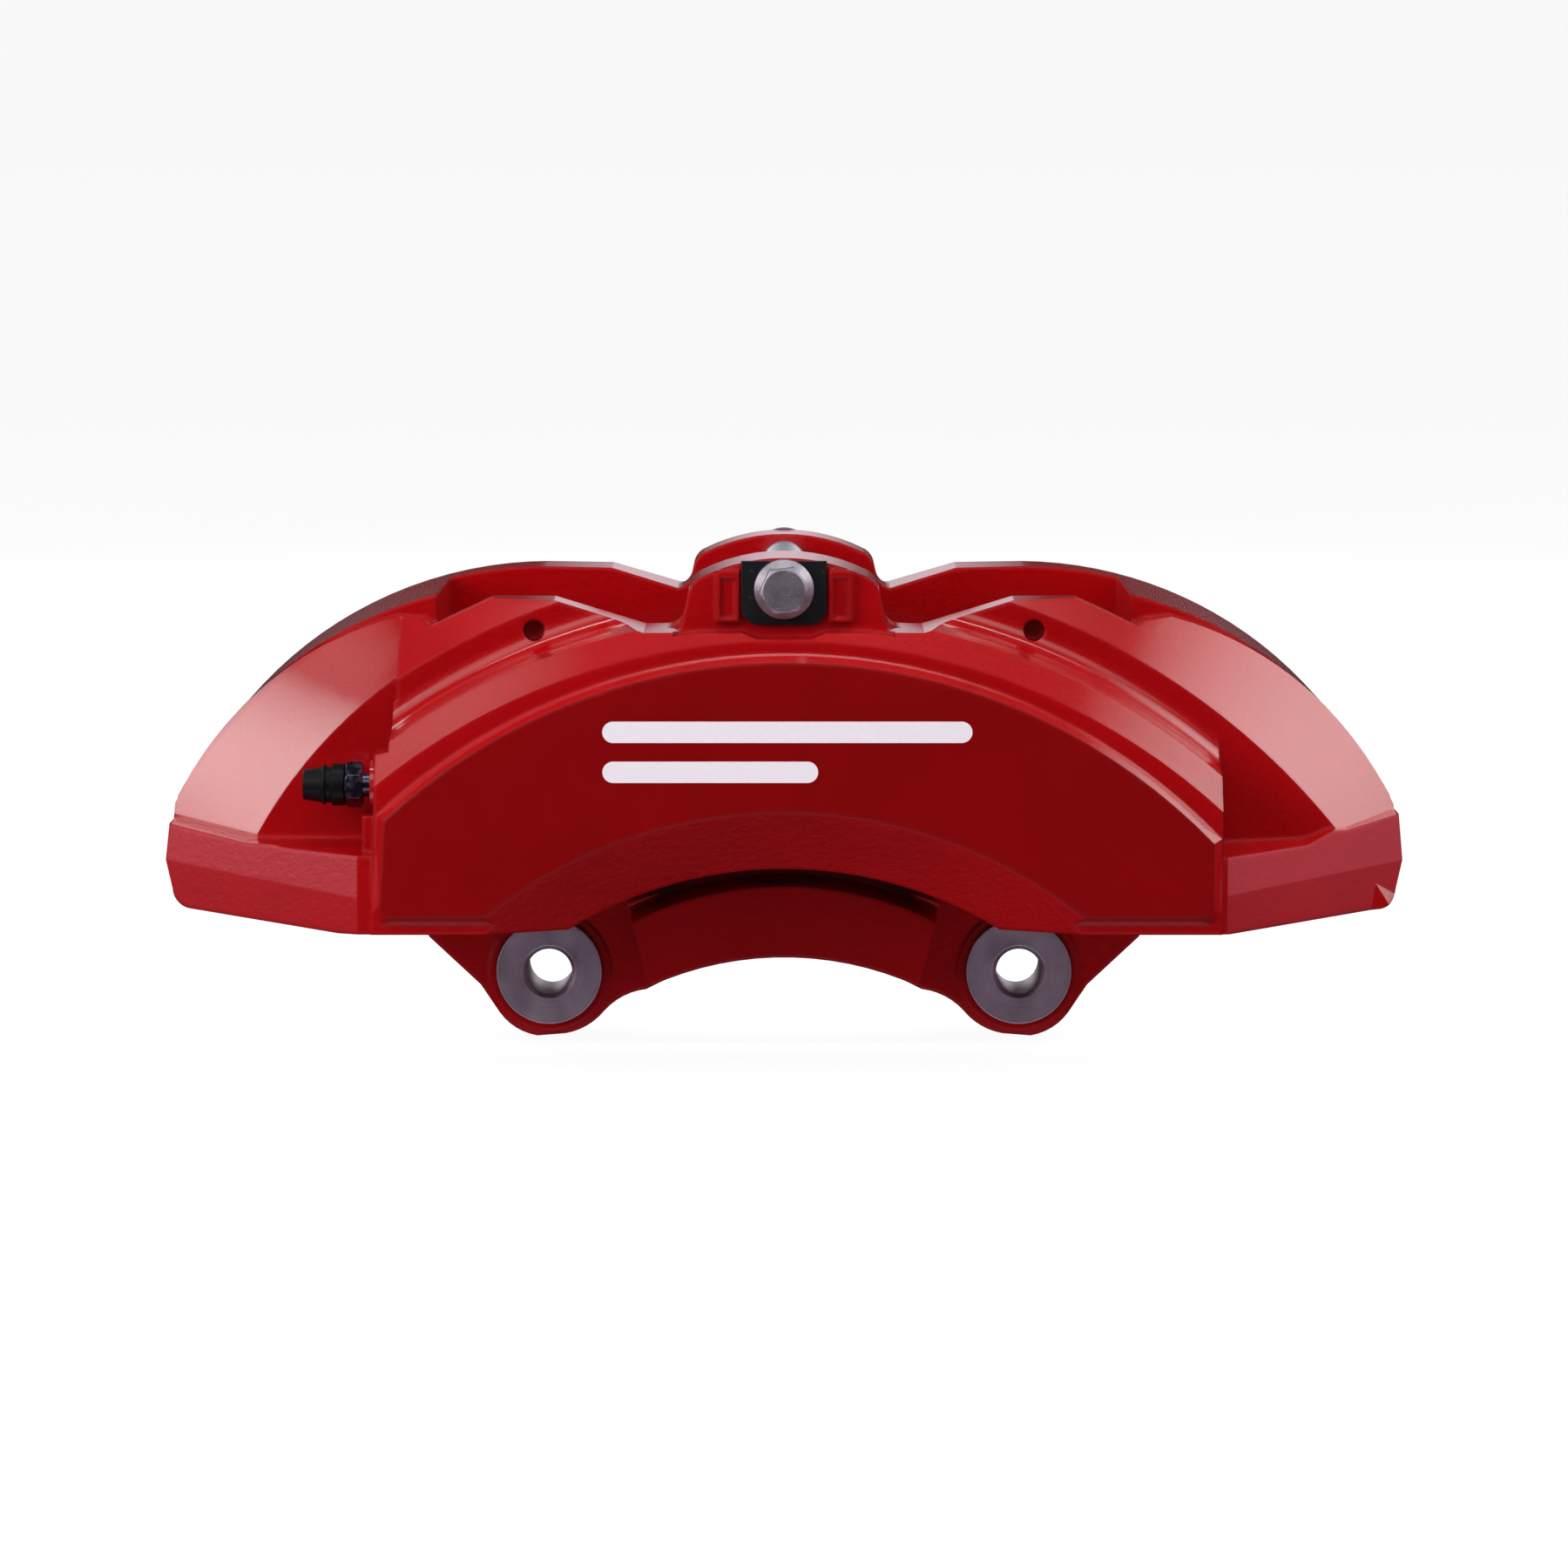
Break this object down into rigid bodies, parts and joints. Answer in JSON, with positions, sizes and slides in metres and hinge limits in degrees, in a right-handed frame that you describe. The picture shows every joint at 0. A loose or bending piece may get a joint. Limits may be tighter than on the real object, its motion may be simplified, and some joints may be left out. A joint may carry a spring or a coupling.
{
  "type": "brake caliper",
  "caption": "Fixed disc-brake caliper: arched red monobloc with opposed pistons, pads on pins, a tie bolt over the pad window, side bleed screws and bushed mounting lugs.",
  "frame": {"origin": "midway between the two mounting holes, on the lugs' inboard face that meets the knuckle", "axes": "+X along the caliper's length, to the right seen from outboard; +Y inboard, parallel to the disc's axis; +Z away from the disc's axis"},
  "size_m": [0.376, 0.158, 0.1618],
  "materials": {
    "red_paint": "aluminium casting under gloss red lacquer, as-cast texture",
    "bush_steel": "turned dark steel",
    "bolt_steel": "grey phosphate",
    "black_plate": "satin black",
    "spacer_steel": "bright turned",
    "bleed_steel": "dark zinc",
    "black_rubber": "moulded, slightly shiny",
    "seal_rubber": "satin",
    "stainless": "rolled stainless sheet and bar",
    "piston_aluminium": "hard anodised",
    "pad_plate_paint": "black powder coat on steel",
    "friction_lining": "coarse sintered grain"
  },
  "bodies": {
    "caliper": {"caliper_body": "red_paint", "mount_bush_left": "bush_steel", "mount_bush_right": "bush_steel", "tie_bolt": "bolt_steel", "tie_bolt_seat_plate": "black_plate", "tie_bolt_spacer": "spacer_steel", "tie_bolt_nut": "bolt_steel", "gallery_plug": "bleed_steel", "hose_port_insert": "spacer_steel", "pad_pin_left": "stainless", "pad_pin_right": "stainless", "pad_spring": "stainless", "outboard_abutment_plates": "stainless", "inboard_abutment_plates": "stainless", "outboard_leading_fluid_seal": "seal_rubber", "outboard_leading_dust_seal": "seal_rubber", "outboard_centre_fluid_seal": "seal_rubber", "outboard_centre_dust_seal": "seal_rubber", "outboard_trailing_fluid_seal": "seal_rubber", "outboard_trailing_dust_seal": "seal_rubber", "inboard_leading_fluid_seal": "seal_rubber", "inboard_leading_dust_seal": "seal_rubber", "inboard_centre_fluid_seal": "seal_rubber", "inboard_centre_dust_seal": "seal_rubber", "inboard_trailing_fluid_seal": "seal_rubber", "inboard_trailing_dust_seal": "seal_rubber"},
    "outboard_pad": {"outboard_pad_backing_plate": "pad_plate_paint", "outboard_pad_lining": "friction_lining", "outboard_pad_shim": "stainless"},
    "outboard_leading_piston": {"outboard_leading_piston": "piston_aluminium"},
    "outboard_centre_piston": {"outboard_centre_piston": "piston_aluminium"},
    "outboard_trailing_piston": {"outboard_trailing_piston": "piston_aluminium"},
    "inboard_pad": {"inboard_pad_backing_plate": "pad_plate_paint", "inboard_pad_lining": "friction_lining", "inboard_pad_shim": "stainless"},
    "inboard_leading_piston": {"inboard_leading_piston": "piston_aluminium"},
    "inboard_centre_piston": {"inboard_centre_piston": "piston_aluminium"},
    "inboard_trailing_piston": {"inboard_trailing_piston": "piston_aluminium"},
    "outboard_bleed_screw": {"bleed_screw_outboard": "bleed_steel"},
    "outboard_bleed_cap": {"bleed_cap_outboard": "black_rubber"},
    "inboard_bleed_screw": {"bleed_screw_inboard": "bleed_steel"},
    "inboard_bleed_cap": {"bleed_cap_inboard": "black_rubber"}
  },
  "joints": [
    {"name": "outboard_pad_slide", "type": "slide", "parent": "caliper", "child": "outboard_pad", "axis": [0, 1, 0], "range_m": [0, 0.008]},
    {"name": "outboard_leading_piston_slide", "type": "slide", "parent": "caliper", "child": "outboard_leading_piston", "axis": [0, 1, 0], "range_m": [0, 0.008]},
    {"name": "outboard_centre_piston_slide", "type": "slide", "parent": "caliper", "child": "outboard_centre_piston", "axis": [0, 1, 0], "range_m": [0, 0.008]},
    {"name": "outboard_trailing_piston_slide", "type": "slide", "parent": "caliper", "child": "outboard_trailing_piston", "axis": [0, 1, 0], "range_m": [0, 0.008]},
    {"name": "inboard_pad_slide", "type": "slide", "parent": "caliper", "child": "inboard_pad", "axis": [0, -1, 0], "range_m": [0, 0.008]},
    {"name": "inboard_leading_piston_slide", "type": "slide", "parent": "caliper", "child": "inboard_leading_piston", "axis": [0, -1, 0], "range_m": [0, 0.008]},
    {"name": "inboard_centre_piston_slide", "type": "slide", "parent": "caliper", "child": "inboard_centre_piston", "axis": [0, -1, 0], "range_m": [0, 0.008]},
    {"name": "inboard_trailing_piston_slide", "type": "slide", "parent": "caliper", "child": "inboard_trailing_piston", "axis": [0, -1, 0], "range_m": [0, 0.008]},
    {"name": "outboard_bleed_screw_turn", "type": "hinge", "parent": "caliper", "child": "outboard_bleed_screw", "pos_m": [-0.125, -0.124, 0.0712], "axis": [-1, 0, 0], "range_deg": [0, 180]},
    {"name": "outboard_bleed_cap_pull", "type": "slide", "parent": "outboard_bleed_screw", "child": "outboard_bleed_cap", "axis": [-1, 0, 0], "range_m": [0, 0.016]},
    {"name": "inboard_bleed_screw_turn", "type": "hinge", "parent": "caliper", "child": "inboard_bleed_screw", "pos_m": [-0.125, 0.003, 0.0712], "axis": [-1, 0, 0], "range_deg": [0, 180]},
    {"name": "inboard_bleed_cap_pull", "type": "slide", "parent": "inboard_bleed_screw", "child": "inboard_bleed_cap", "axis": [-1, 0, 0], "range_m": [0, 0.016]}
  ],
  "couplings": [
    {"joint": "outboard_leading_piston_slide", "follows": "outboard_pad_slide", "ratio": 1},
    {"joint": "outboard_centre_piston_slide", "follows": "outboard_pad_slide", "ratio": 1},
    {"joint": "outboard_trailing_piston_slide", "follows": "outboard_pad_slide", "ratio": 1},
    {"joint": "inboard_leading_piston_slide", "follows": "inboard_pad_slide", "ratio": 1},
    {"joint": "inboard_centre_piston_slide", "follows": "inboard_pad_slide", "ratio": 1},
    {"joint": "inboard_trailing_piston_slide", "follows": "inboard_pad_slide", "ratio": 1}
  ]
}
